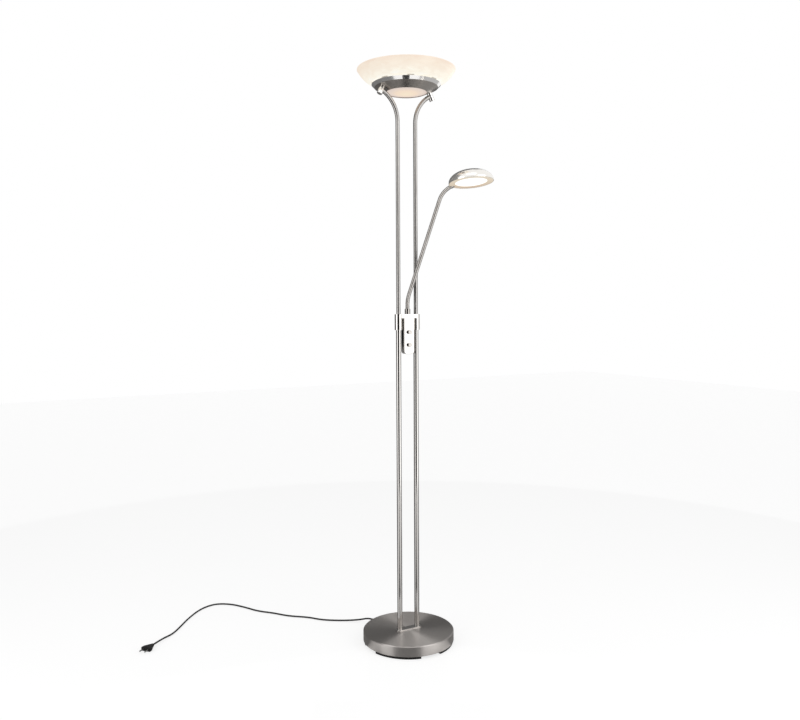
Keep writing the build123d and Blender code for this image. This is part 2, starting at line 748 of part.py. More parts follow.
def hose_piece(label, first, count):
    """A length of ribbed hose: a ruled loft over its ribs, with a bore."""
    with BuildPart() as piece:
        for rib in range(first, first + count):
            for share, radius in RIB_SHAPE:
                with BuildSketch(arm_at((rib + share) * rib_pitch)):
                    Circle(radius)
        with BuildSketch(arm_at((first + count) * rib_pitch)):
            Circle(HOSE_VALLEY)
        loft(ruled=True)
        for rib in range(first, first + count + 1):
            with BuildSketch(arm_at(rib * rib_pitch)):
                Circle(HOSE_BORE)
        loft(ruled=True, mode=Mode.SUBTRACT)
    piece.part.label = label
    return piece.part


hose_parts = []
first_rib = 0
for hose_label, rib_count in HOSE_PIECES:
    hose_parts.append(hose_piece(hose_label, first_rib, rib_count))
    first_rib += rib_count


# ---------------------------------------------------------------- reading head
view_along = Vector(cos(radians(VIEW_TURN)), sin(radians(VIEW_TURN)), 0)
view_side = Vector(-sin(radians(VIEW_TURN)), cos(radians(VIEW_TURN)), 0)
head_at = view_along * HEAD_ALONG + view_side * HEAD_SIDE + Vector(0, 0, HEAD_Z)
head_x = (view_along + Vector(0, 0, tan(radians(HEAD_TILT_ALONG)))).normalized()
head_y = view_side - Vector(0, 0, tan(radians(HEAD_TILT_SIDE)))
head_up = head_x.cross(head_y).normalized()
head_plane = Plane(origin=head_at, x_dir=head_x, z_dir=head_up)
head_section = Plane(origin=head_at, x_dir=head_x, z_dir=head_x.cross(head_up))
head_axis = Axis(head_at, head_up)
neck_plane = arm_at(hose_length - NECK_GRIP)


def neck_way(room):
    """Rod to cut from a piece of the head, so that the neck passes."""
    with BuildPart() as rod:
        with BuildSketch(neck_plane):
            Circle(NECK_RADIUS + room)
        extrude(amount=2 * NECK_LENGTH)
        with BuildSketch(neck_plane):
            Circle(NECK_RADIUS + room)
        extrude(amount=NECK_GRIP - HOSE_END)
    return rod.part


with BuildPart() as head_neck:
    with BuildSketch(neck_plane):
        Circle(NECK_RADIUS)
        Circle(HOSE_CREST + FIT, mode=Mode.SUBTRACT)
    extrude(amount=NECK_GRIP)
    with BuildSketch(arm_at(hose_length)):
        Circle(NECK_RADIUS)
        Circle(NECK_WIRE, mode=Mode.SUBTRACT)
    extrude(amount=NECK_LENGTH - NECK_GRIP)
head_neck.part.label = "head_neck"

shell_inside = HEAD_RADIUS - HEAD_WALL
dome_inside = HEAD_DOME - HEAD_LIP - HEAD_WALL
with BuildPart() as head_shell:
    with BuildSketch(head_section):
        with BuildLine():
            Line((shell_inside, 0), (HEAD_RADIUS, 0))
            Line((HEAD_RADIUS, 0), (HEAD_RADIUS, HEAD_LIP))
            EllipticalCenterArc((0, HEAD_LIP), HEAD_RADIUS, HEAD_DOME - HEAD_LIP, 0, arc_size=90)
            Line((0, HEAD_DOME), (0, HEAD_DOME - HEAD_WALL))
            EllipticalCenterArc((0, HEAD_LIP), shell_inside, dome_inside, 0, arc_size=90)
            Line((shell_inside, HEAD_LIP), (shell_inside, 0))
        make_face()
    revolve(axis=head_axis)
    add(neck_way(FIT), mode=Mode.SUBTRACT)
head_shell.part.label = "head_shell"

with BuildPart() as head_bezel:
    with BuildSketch(head_plane.offset(BEZEL_BOTTOM)):
        Circle(BEZEL_OUTER)
        Circle(BEZEL_INNER, mode=Mode.SUBTRACT)
    extrude(amount=BEZEL_TOP - BEZEL_BOTTOM)
    add(neck_way(CLEAR), mode=Mode.SUBTRACT)
head_bezel.part.label = "head_bezel"

with BuildPart() as head_diffuser:
    with BuildSketch(head_plane.offset(BEZEL_TOP)):
        Circle(DIFFUSER_RADIUS)
    extrude(amount=DIFFUSER_TOP - BEZEL_TOP)
    add(neck_way(CLEAR), mode=Mode.SUBTRACT)
head_diffuser.part.label = "head_diffuser"

with BuildPart() as reading_leds:
    with BuildSketch(head_plane.offset(HEAD_CHIP_Z)):
        for ring_radius, chip_count in HEAD_CHIP_RINGS:
            with PolarLocations(ring_radius, chip_count):
                Rectangle(CHIP, CHIP)
    extrude(amount=HEAD_BOARD_Z - HEAD_CHIP_Z)
reading_leds.part.label = "reading_leds"

with BuildPart() as head_led_board:
    with BuildSketch(head_plane.offset(HEAD_BOARD_Z)):
        Circle(HEAD_BOARD_RADIUS)
    extrude(amount=HEAD_SINK_Z - HEAD_BOARD_Z)
head_led_board.part.label = "head_led_board"

with BuildPart() as head_heatsink:
    with BuildSketch(head_plane.offset(HEAD_SINK_Z)):
        Circle(HEAD_SINK_RADIUS)
    extrude(amount=HEAD_SINK_TOP - HEAD_SINK_Z)
    with BuildSketch(head_plane.offset(HEAD_SINK_TOP)):
        Circle(HEAD_BOSS_RADIUS)
    extrude(amount=HEAD_BOSS_TOP - HEAD_SINK_TOP)
head_heatsink.part.label = "head_heatsink"


# ---------------------------------------------------------------- collar and knuckles
def stem_plane(side):
    """Plane at a pole's end, its normal running down the knuckle."""
    end = pole_run(side, TUBE_STEP) @ 1
    heading = pole_run(side, TUBE_STEP) % 1
    return Plane(origin=end, x_dir=(0, 1, 0), z_dir=Vector(0, side, 0).cross(heading))


with BuildPart() as collar:
    with BuildSketch(Plane.XZ):
        with BuildLine():
            Polyline(
                (RING_RADIUS, RING_Z),
                (SLOPE_RADIUS, SLOPE_Z),
                (COLLAR_RADIUS, LIP_Z),
                (COLLAR_RADIUS - LIP_WALL, LIP_Z),
                (SLOPE_RADIUS - COLLAR_WALL / 2, SLOPE_Z + COLLAR_WALL),
                (RING_RADIUS, RING_Z + COLLAR_WALL),
                close=True,
            )
        make_face()
    revolve(axis=Axis.Z)
    for side in (-1, 1):
        with BuildSketch(stem_plane(side)):
            Circle(LINK_RADIUS + FIT)
        extrude(amount=-2 * LINK_TOP, mode=Mode.SUBTRACT)
collar.part.label = "collar"


with BuildPart() as knuckles:
    for side in (-1, 1):
        with BuildSketch(stem_plane(side).offset(KNUCKLE_BELOW)):
            Circle(KNUCKLE_RADIUS)
        extrude(amount=-KNUCKLE_BELOW - KNUCKLE_ABOVE)
    feet = knuckles.edges().filter_by(GeomType.CIRCLE).sort_by(Axis.Z)[:2]
    fillet(feet, radius=KNUCKLE_ROUND)
    # their tops follow the collar's cone
    with BuildSketch(Plane.XZ):
        with BuildLine():
            Polyline(
                (0, RING_Z),
                (RING_RADIUS, RING_Z),
                (SLOPE_RADIUS, SLOPE_Z),
                (COLLAR_RADIUS, LIP_Z),
                (COLLAR_RADIUS, LIP_Z + KNUCKLE_BELOW),
                (0, LIP_Z + KNUCKLE_BELOW),
                close=True,
            )
        make_face()
    revolve(axis=Axis.Z, mode=Mode.SUBTRACT)
    for side in (-1, 1):
        with BuildSketch(Plane.XY.offset(UPPER_STRAIGHT_TOP - UPPER_TUBE)):
            with Locations((side * POLE_X, 0)):
                Circle(UPPER_TUBE + FIT)
        sweep(path=pole_run(side, UPPER_STRAIGHT_TOP - UPPER_TUBE), mode=Mode.SUBTRACT)
        with BuildSketch(stem_plane(side)):
            Circle(LINK_RADIUS + FIT)
        extrude(amount=-KNUCKLE_ABOVE, mode=Mode.SUBTRACT)
knuckles.part.label = "knuckles"

with BuildPart() as collar_links:
    for side in (-1, 1):
        with BuildSketch(stem_plane(side).offset(-LINK_BOTTOM - UPPER_TUBE)):
            Circle(LINK_RADIUS)
            Circle(LINK_BORE, mode=Mode.SUBTRACT)
        extrude(amount=LINK_BOTTOM + UPPER_TUBE - LINK_TOP)
    for side in (-1, 1):
        with BuildSketch(stem_plane(side).offset(-LINK_NUT_BOTTOM)):
            RegularPolygon(radius=LINK_NUT, side_count=6)
            Circle(LINK_BORE, mode=Mode.SUBTRACT)
        extrude(amount=LINK_NUT_BOTTOM - LINK_NUT_TOP)
collar_links.part.label = "collar_links"


# ---------------------------------------------------------------- lights under and in the bowl
with BuildPart() as lower_glass:
    lens_rise = (LENS_EDGE_Z - LENS_CENTRE_Z) / 4
    lens_top = LENS_CENTRE_Z + LENS_WALL
    with BuildSketch(Plane.XZ):
        with BuildLine():
            Line((0, LENS_CENTRE_Z), (0, lens_top))
            Spline(
                (0, lens_top),
                (LENS_RADIUS / 2, lens_top + lens_rise),
                (LENS_RADIUS, LENS_EDGE_Z + LENS_WALL),
                tangents=((1, 0), (1, LENS_SLOPE)),
            )
            Line((LENS_RADIUS, LENS_EDGE_Z + LENS_WALL), (LENS_RADIUS, LENS_EDGE_Z))
            Spline(
                (LENS_RADIUS, LENS_EDGE_Z),
                (LENS_RADIUS / 2, LENS_CENTRE_Z + lens_rise),
                (0, LENS_CENTRE_Z),
                tangents=((-1, -LENS_SLOPE), (-1, 0)),
            )
        make_face()
    revolve(axis=Axis.Z)
lower_glass.part.label = "lower_glass"


def disc(label, bottom, top, outer, bore, holes=0):
    """A disc or ring round the lamp's axis, with holes for the bowl's screws if asked."""
    with BuildPart() as piece:
        with BuildSketch(Plane.XY.offset(bottom)):
            Circle(outer)
            if bore:
                Circle(bore, mode=Mode.SUBTRACT)
            if holes:
                with PolarLocations(BOWL_SCREW_CIRCLE, BOWL_SCREW_COUNT, start_angle=BOWL_SCREW_PHASE):
                    Circle(holes, mode=Mode.SUBTRACT)
        extrude(amount=top - bottom)
    piece.part.label = label
    return piece.part


def chips(label, bottom, rings):
    """Light chips on circles round the lamp's axis."""
    with BuildPart() as piece:
        with BuildSketch(Plane.XY.offset(bottom)):
            for radius, count in rings:
                with PolarLocations(radius, count):
                    Rectangle(CHIP, CHIP)
        extrude(amount=CHIP_HEIGHT)
    piece.part.label = label
    return piece.part


led_carrier = disc(
    "led_carrier", CARRIER_BOTTOM, CARRIER_TOP, CARRIER_RADIUS, CARRIER_WIRE, BOWL_SCREW + FIT
)
uplight_heatsink = disc("uplight_heatsink", CARRIER_TOP, SINK_TOP, SINK_RADIUS, CARRIER_WIRE)
uplight_board = disc("uplight_board", SINK_TOP, SINK_TOP + BOARD_THICK, BOARD_UP_RADIUS, 0)
uplight_leds = chips("uplight_leds", SINK_TOP + BOARD_THICK, UP_CHIP_RINGS)
down_board_z = CARRIER_BOTTOM - BOARD_THICK
downlight_board = disc("downlight_board", down_board_z, CARRIER_BOTTOM, DOWN_BOARD_RADIUS, CARRIER_WIRE)
downlight_leds = chips("downlight_leds", down_board_z - CHIP_HEIGHT, DOWN_CHIP_RINGS)
gasket_outer = BOWL_FLAT - GASKET_INSET
gasket_inner = BOWL_HOLE + GASKET_INSET
glass_gasket = disc("glass_gasket", CARRIER_TOP, GASKET_TOP, gasket_outer, gasket_inner)
flange_z = GASKET_TOP + BOWL_WALL
clamp_z = flange_z + OPAL_WALL
clamp_top = clamp_z + CLAMP_HEIGHT
glass_clamp = disc("glass_clamp", clamp_z, clamp_top, OPAL_FLANGE, CLAMP_INNER, BOWL_SCREW + CLEAR)

with BuildPart() as bowl_screws:
    with BuildSketch(Plane.XY.offset(clamp_top)):
        with PolarLocations(BOWL_SCREW_CIRCLE, BOWL_SCREW_COUNT, start_angle=BOWL_SCREW_PHASE):
            Circle(BOWL_SCREW_HEAD)
    extrude(amount=SCREW_HEAD_DEPTH)
    with BuildSketch(Plane.XY.offset(clamp_top)):
        with PolarLocations(BOWL_SCREW_CIRCLE, BOWL_SCREW_COUNT, start_angle=BOWL_SCREW_PHASE):
            Circle(BOWL_SCREW)
    extrude(amount=CARRIER_BOTTOM - clamp_top)
bowl_screws.part.label = "bowl_screws"

with BuildPart() as opal_cover:
    inner_rise = OPAL_HEIGHT - OPAL_WALL
    inner_radius = OPAL_RADIUS - OPAL_WALL
    half_way = cos(radians(45))
    with BuildSketch(Plane.XZ):
        with BuildLine():
            Line((0, clamp_z + inner_rise), (0, flange_z + inner_rise))
            Spline(
                (0, flange_z + inner_rise),
                (inner_radius * half_way, flange_z + inner_rise * half_way),
                (inner_radius, flange_z),
                tangents=((1, 0), (0, -1)),
            )
            Line((inner_radius, flange_z), (OPAL_FLANGE, flange_z))
            Line((OPAL_FLANGE, flange_z), (OPAL_FLANGE, clamp_z))
            Line((OPAL_FLANGE, clamp_z), (OPAL_RADIUS, clamp_z))
            Spline(
                (OPAL_RADIUS, clamp_z),
                (OPAL_RADIUS * half_way, clamp_z + inner_rise * half_way),
                (0, clamp_z + inner_rise),
                tangents=((0, 1), (-1, 0)),
            )
        make_face()
    revolve(axis=Axis.Z)
    with BuildSketch(Plane.XY.offset(flange_z)):
        with PolarLocations(BOWL_SCREW_CIRCLE, BOWL_SCREW_COUNT, start_angle=BOWL_SCREW_PHASE):
            Circle(BOWL_SCREW + CLEAR)
    extrude(amount=OPAL_WALL, mode=Mode.SUBTRACT)
opal_cover.part.label = "opal_cover"

# the bowl's inside follows its outside at one glass thickness
inner_profile = []
for index, (radius, height) in enumerate(BOWL_PROFILE):
    before = BOWL_PROFILE[max(index - 1, 0)]
    after = BOWL_PROFILE[min(index + 1, len(BOWL_PROFILE) - 1)]
    run = hypot(after[0] - before[0], after[1] - before[1])
    inner_profile.append(
        (
            radius - BOWL_WALL * (after[1] - before[1]) / run,
            height + BOWL_WALL * (after[0] - before[0]) / run,
        )
    )
rim_outer = BOWL_PROFILE[-1]
rim_inner = (rim_outer[0] - BOWL_RIM, rim_outer[1])
inner_profile[-1] = rim_inner

with BuildPart() as glass_bowl:
    with BuildSketch(Plane.XZ):
        with BuildLine():
            Line((BOWL_HOLE, GASKET_TOP), (BOWL_FLAT, GASKET_TOP))
            Spline((BOWL_FLAT, GASKET_TOP), *BOWL_PROFILE, tangents=((1, 0), BOWL_RIM_SLOPE))
            Line(rim_outer, rim_inner)
            Spline(
                rim_inner,
                *inner_profile[-2::-1],
                (BOWL_FLAT, flange_z),
                tangents=((-BOWL_RIM_SLOPE[0], -BOWL_RIM_SLOPE[1]), (-1, 0)),
            )
            Line((BOWL_FLAT, flange_z), (BOWL_HOLE, flange_z))
            Line((BOWL_HOLE, flange_z), (BOWL_HOLE, GASKET_TOP))
        make_face()
    revolve(axis=Axis.Z)
    rim = glass_bowl.edges().group_by(Axis.Z)[-1]
    fillet(rim, radius=BOWL_WALL / 3)
glass_bowl.part.label = "glass_bowl"

# eight soft spacers stand on the collar's lip and carry the glass
(low_r, low_z), (high_r, high_z) = BOWL_PROFILE[:2]
glass_slope = (high_z - low_z) / (high_r - low_r)
spacer_in = COLLAR_RADIUS - LIP_WALL
spacer_out = COLLAR_RADIUS - CLEAR
with BuildPart() as one_spacer:
    with BuildSketch(Plane.XZ):
        with BuildLine():
            Polyline(
                (spacer_in, LIP_Z),
                (spacer_out, LIP_Z),
                (spacer_out, low_z + glass_slope * (spacer_out - low_r) - CLEAR),
                (spacer_in, low_z + glass_slope * (spacer_in - low_r) - CLEAR),
                close=True,
            )
        make_face()
    revolve(axis=Axis.Z, revolution_arc=SPACER_ANGLE)
with BuildPart() as glass_spacers:
    with PolarLocations(0, SPACER_COUNT, start_angle=SPACER_PHASE - SPACER_ANGLE / 2):
        add(one_spacer.part)
glass_spacers.part.label = "glass_spacers"


# ---------------------------------------------------------------- mains cord
with BuildPart() as cord_gland:
    with BuildSketch(gland_plane):
        Circle(GLAND_FLANGE)
    extrude(amount=GLAND_FLANGE_THICK)
    with BuildSketch(gland_plane):
        Circle(GLAND_NECK)
    extrude(amount=-COVER_WALL - CLEAR)
    with BuildSketch(gland_plane.offset(-COVER_WALL - CLEAR)):
        Circle(GLAND_FLANGE)
    extrude(amount=-GLAND_FLANGE_THICK)
    with BuildSketch(gland_plane.offset(GLAND_FLANGE_THICK)):
        Circle(GLAND_NECK)
    with BuildSketch(gland_plane.offset(GLAND_LENGTH)):
        Circle(GLAND_TIP)
    loft(ruled=True)
cord_gland.part.label = "cord_gland"

relief_end = gland_at + gland_out * GLAND_LENGTH
first_corner = relief_end + gland_out * CORD_FIRST_RUN
plug_rear = Vector(*PLUG_REAR, PLUG_Z)
cord_points = [relief_end, first_corner, Vector(*CORD_DROP)]
cord_points += [Vector(x, y, CORD_Z) for x, y in CORD_CORNERS]
cord_points += [Vector(*PLUG_TURN, PLUG_Z), plug_rear]
cord_radii = []
for before, corner, after in zip(cord_points, cord_points[1:], cord_points[2:]):
    run_in = corner - before
    run_out = after - corner
    half_turn = radians(run_in.get_angle(run_out)) / 2
    cord_radii.append(CORD_TURN_SHARE * min(run_in.length, run_out.length) / tan(half_turn))
print("cord radii", [round(radius) for radius in cord_radii])

with BuildPart() as cord:
    with BuildLine() as cord_line:
        FilletPolyline(*cord_points, radius=cord_radii)
    with BuildSketch(Plane(origin=relief_end, z_dir=gland_out)):
        Circle(CORD_RADIUS)
    sweep(path=cord_line.wire())
cord.part.label = "cord"
cord_length = sum(edge.length for edge in cord_line.edges())
print("cord length", round(cord_length, 1))
print("cord volume share", round(cord.part.volume / (pi * CORD_RADIUS**2 * cord_length), 4))

plug_heading = (plug_rear - cord_points[-2]).normalized()
plug_across = Vector(0, 0, 1).cross(plug_heading)


def plug_section(distance):
    """Plane square to the plug, this far from the cord's end of it."""
    return Plane(origin=plug_rear + plug_heading * distance, x_dir=plug_across, z_dir=plug_heading)


with BuildPart() as plug:
    for distance, width, depth, corner in PLUG_SECTIONS:
        with BuildSketch(plug_section(distance)):
            RectangleRounded(width, depth, corner)
    loft(ruled=True)
    with BuildSketch(plug_section(PLUG_SECTIONS[-1][0])):
        with GridLocations(PIN_SPACING, 1, 2, 1):
            Circle(PIN_RADIUS + FIT)
    extrude(amount=-PIN_GRIP, mode=Mode.SUBTRACT)
plug.part.label = "plug"

with BuildPart() as plug_pins:
    with BuildSketch(plug_section(PLUG_SECTIONS[-1][0] - PIN_GRIP + CLEAR)):
        with GridLocations(PIN_SPACING, 1, 2, 1):
            Circle(PIN_RADIUS)
    extrude(amount=PIN_LENGTH + PIN_GRIP - CLEAR)
    fillet(plug_pins.edges().filter_by(GeomType.CIRCLE), radius=PIN_RADIUS / 3)
plug_pins.part.label = "plug_pins"


# ---------------------------------------------------------------- files
pieces = [
    piece.part
    for piece in (
        foot_ring, base_plate, base_cover, base_weight, base_screws, foot_plate, pole_studs,
        stud_nuts, upper_tubes, uplight_lead, mains_lead, cross_bracket, bracket_set_screws,
        control_box, control_back, box_screws, dimmer_board, dimmer_pots, nipple_nut, head_neck,
        head_shell, head_bezel, head_diffuser, reading_leds, head_led_board, head_heatsink,
        collar, knuckles, collar_links, lower_glass, bowl_screws, opal_cover, glass_bowl,
        glass_spacers, cord_gland, cord, plug, plug_pins,
    )
]
pieces += [
    lower_tubes, upper_knob, upper_knob_shaft, lower_knob, lower_knob_shaft, gooseneck_socket,
    gooseneck_nipple, led_carrier, uplight_heatsink, uplight_board, uplight_leds,
    downlight_board, downlight_leds, glass_gasket, glass_clamp,
]
pieces += hose_parts
for piece in pieces:
    export_step(piece, f"parts/{piece.label}.step")
    box = piece.bounding_box()
    corners = [round(v, 1) for v in (*box.min, *box.max)]
    print(piece.label, len(piece.solids()), corners, round(piece.volume))
print(len(pieces), "pieces")
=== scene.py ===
"""Finishes, cord, flexible arm, light and camera for a twin-pole uplighter with a reading light."""

from __future__ import annotations

import logging
import math
from dataclasses import dataclass
from enum import Enum

import bpy
from mathutils import Matrix, Vector


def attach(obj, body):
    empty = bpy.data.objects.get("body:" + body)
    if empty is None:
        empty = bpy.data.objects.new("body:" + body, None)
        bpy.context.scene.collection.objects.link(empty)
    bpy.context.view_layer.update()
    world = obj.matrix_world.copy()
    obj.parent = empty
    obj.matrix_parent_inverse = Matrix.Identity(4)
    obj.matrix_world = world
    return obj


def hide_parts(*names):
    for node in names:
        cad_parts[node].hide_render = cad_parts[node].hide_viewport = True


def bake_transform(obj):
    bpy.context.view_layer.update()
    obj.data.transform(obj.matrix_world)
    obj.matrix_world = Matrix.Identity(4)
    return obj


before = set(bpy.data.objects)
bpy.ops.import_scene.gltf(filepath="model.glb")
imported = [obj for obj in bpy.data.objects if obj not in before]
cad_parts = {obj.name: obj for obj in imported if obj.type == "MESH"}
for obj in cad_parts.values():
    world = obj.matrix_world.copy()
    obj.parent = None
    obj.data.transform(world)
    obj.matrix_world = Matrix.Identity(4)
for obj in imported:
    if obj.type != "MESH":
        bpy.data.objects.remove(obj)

LOG = logging.getLogger("lamp")
MM = 0.001

# The sRGB curve: a straight foot up to the knee, then a power.
SRGB_KNEE = 0.04045
SRGB_FOOT = 12.92
SRGB_OFFSET = 0.055
SRGB_POWER = 2.4

# Sockets of a mix node that mixes colours.
MIX_FACTOR = 0
MIX_FIRST = 6
MIX_SECOND = 7
MIX_RESULT = 2

# Share of a whole turn that lays the sheen across turned lines.
QUARTER_TURN = 0.25


class Grain(Enum):
    """How a metal surface was finished."""

    SMOOTH = "smooth"
    SPUN = "spun"


def linear(colour: str) -> tuple[float, float, float, float]:
    """Turn an sRGB hex colour into the linear values that Blender works in.

    Args:
        colour: Six hex digits after a hash sign.

    Returns:
        Red, green, blue and an alpha of one.
    """
    values = [int(colour[i : i + 2], 16) / 255 for i in (1, 3, 5)]
    made = [
        v / SRGB_FOOT if v <= SRGB_KNEE else ((v + SRGB_OFFSET) / (1 + SRGB_OFFSET)) ** SRGB_POWER
        for v in values
    ]
    return (made[0], made[1], made[2], 1.0)


def add_node(
    tree: bpy.types.NodeTree,
    kind: str,
    values: dict[str | int, object] | None = None,
    links: dict[str | int, bpy.types.NodeSocket] | None = None,
    **settings: object,
) -> bpy.types.Node:
    """Add one node with its settings, constant inputs and incoming links.

    Args:
        tree: Node tree that gets the node.
        kind: Blender's name for the node type.
        values: Constant values by input name or number.
        links: Output sockets to connect, by input name or number.
        settings: Properties of the node itself.

    Returns:
        The new node.
    """
    node = tree.nodes.new(kind)
    for name, value in settings.items():
        setattr(node, name, value)
    for name, value in (values or {}).items():
        node.inputs[name].default_value = value
    for name, socket in (links or {}).items():
        tree.links.new(socket, node.inputs[name])
    return node


def new_material(name: str) -> tuple[bpy.types.Material, bpy.types.NodeTree, bpy.types.Node]:
    """Make an empty material.

    Args:
        name: Name of the real material and its finish.

    Returns:
        The material, its node tree and its output node.
    """
    material = bpy.data.materials.new(name)
    material.use_nodes = True
    tree = material.node_tree
    tree.nodes.clear()
    return material, tree, tree.nodes.new("ShaderNodeOutputMaterial")


def colour_steps(ramp: bpy.types.Node, stops: tuple[tuple[float, str], ...]) -> None:
    """Set a colour ramp's stops.

    Args:
        ramp: Colour ramp node.
        stops: Position and sRGB hex colour of each stop.
    """
    elements = ramp.color_ramp.elements
    while len(elements) > 1:
        elements.remove(elements[-1])
    elements[0].position = stops[0][0]
    elements[0].color = linear(stops[0][1])
    for position, colour in stops[1:]:
        elements.new(position).color = linear(colour)


@dataclass(frozen=True)
class PolishedLipPaintedHighlight:
    """A polished rim on a brushed piece of metal, with a painted highlight: its near white colour
    stands in for the bowl's light glancing off the rim.
    """

    bottom: float
    colour: str
    roughness: float


@dataclass(frozen=True)
class Metal:
    """A bare or plated metal finish."""

    name: str
    colour: str
    roughness: float
    grain: Grain = Grain.SMOOTH
    grain_mm: float = 1.0
    anisotropy: float = 0.0
    lip: PolishedLipPaintedHighlight | None = None
    # how far the turned lines move the roughness, and the noise levels that do it
    spread: float = 0.1
    noise_low: float = 0.3
    noise_high: float = 0.7

    def build(self) -> bpy.types.Material:
        """Make the material.

        Returns:
            The material.
        """
        material, tree, output = new_material(self.name)
        shader = add_node(
            tree,
            "ShaderNodeBsdfPrincipled",
            {"Base Color": linear(self.colour), "Metallic": 1.0, "Roughness": self.roughness},
        )
        tree.links.new(shader.outputs["BSDF"], output.inputs["Surface"])
        if self.grain is Grain.SPUN:
            self._spin(tree, shader)
        return material

    def _spin(self, tree: bpy.types.NodeTree, shader: bpy.types.Node) -> None:
        """Vary the roughness along fine turned lines and spread the sheen across them.

        Args:
            tree: The material's node tree.
            shader: The material's shader.
        """
        place = add_node(tree, "ShaderNodeTexCoord")
        split = add_node(tree, "ShaderNodeSeparateXYZ", links={0: place.outputs["Object"]})
        flat = add_node(
            tree,
            "ShaderNodeCombineXYZ",
            links={"X": split.outputs["X"], "Y": split.outputs["Y"]},
        )
        radius = add_node(
            tree, "ShaderNodeVectorMath", links={0: flat.outputs[0]}, operation="LENGTH"
        )
        # lines round the axis: only the radius and the height change across them
        line = add_node(
            tree,
            "ShaderNodeCombineXYZ",
            links={"X": radius.outputs["Value"], "Z": split.outputs["Z"]},
        )
        noise = add_node(
            tree,
            "ShaderNodeTexNoise",
            {"Scale": 1 / (self.grain_mm * MM), "Detail": 3.0, "Roughness": 0.6},
            {"Vector": line.outputs[0]},
        )
        spread = add_node(
            tree,
            "ShaderNodeMapRange",
            {
                "From Min": self.noise_low,
                "From Max": self.noise_high,
                "To Min": self.roughness * (1 - self.spread),
                "To Max": self.roughness * (1 + self.spread),
            },
            {"Value": noise.outputs["Fac"]},
        )
        rough = spread.outputs["Result"]
        if self.lip is not None:
            rough = self._polish_and_paint_lip_highlight(tree, shader, split.outputs["Z"], rough)
        tree.links.new(rough, shader.inputs["Roughness"])
        shader.inputs["Anisotropic"].default_value = self.anisotropy
        shader.inputs["Anisotropic Rotation"].default_value = QUARTER_TURN
        tangent = add_node(tree, "ShaderNodeTangent", direction_type="RADIAL", axis="Z")
        tree.links.new(tangent.outputs[0], shader.inputs["Tangent"])

    def _polish_and_paint_lip_highlight(
        self,
        tree: bpy.types.NodeTree,
        shader: bpy.types.Node,
        height: bpy.types.NodeSocket,
        brushed: bpy.types.NodeSocket,
    ) -> bpy.types.NodeSocket:
        """Polish the lip, which lies above one height, and give it a painted highlight in its near
        white colour.

        Args:
            tree: The material's node tree.
            shader: The material's shader.
            height: The surface's height.
            brushed: Roughness of the turned lines.

        Returns:
            The roughness of the whole piece.
        """
        polished = add_node(
            tree, "ShaderNodeMath", {1: self.lip.bottom}, {0: height}, operation="GREATER_THAN"
        )
        rough = add_node(
            tree,
            "ShaderNodeMix",
            {"B": self.lip.roughness},
            {"Factor": polished.outputs[0], "A": brushed},
        )
        # painted highlight: above the lip's bottom the colour turns near white
        colour = add_node(
            tree,
            "ShaderNodeMix",
            {MIX_FIRST: linear(self.colour), MIX_SECOND: linear(self.lip.colour)},
            {MIX_FACTOR: polished.outputs[0]},
            data_type="RGBA",
        )
        tree.links.new(colour.outputs[MIX_RESULT], shader.inputs["Base Color"])
        return rough.outputs["Result"]


@dataclass(frozen=True)
class Plain:
    """A plastic, rubber, painted or cast surface of one colour."""

    name: str
    colour: str
    roughness: float
    metallic: float = 0.0
    glow: str = "#000000"
    strength: float = 0.0

    def build(self) -> bpy.types.Material:
        """Make the material.

        Returns:
            The material.
        """
        material, tree, output = new_material(self.name)
        shader = add_node(
            tree,
            "ShaderNodeBsdfPrincipled",
            {
                "Base Color": linear(self.colour),
                "Metallic": self.metallic,
                "Roughness": self.roughness,
                "Emission Color": linear(self.glow),
                "Emission Strength": self.strength,
            },
        )
        tree.links.new(shader.outputs["BSDF"], output.inputs["Surface"])
        return material


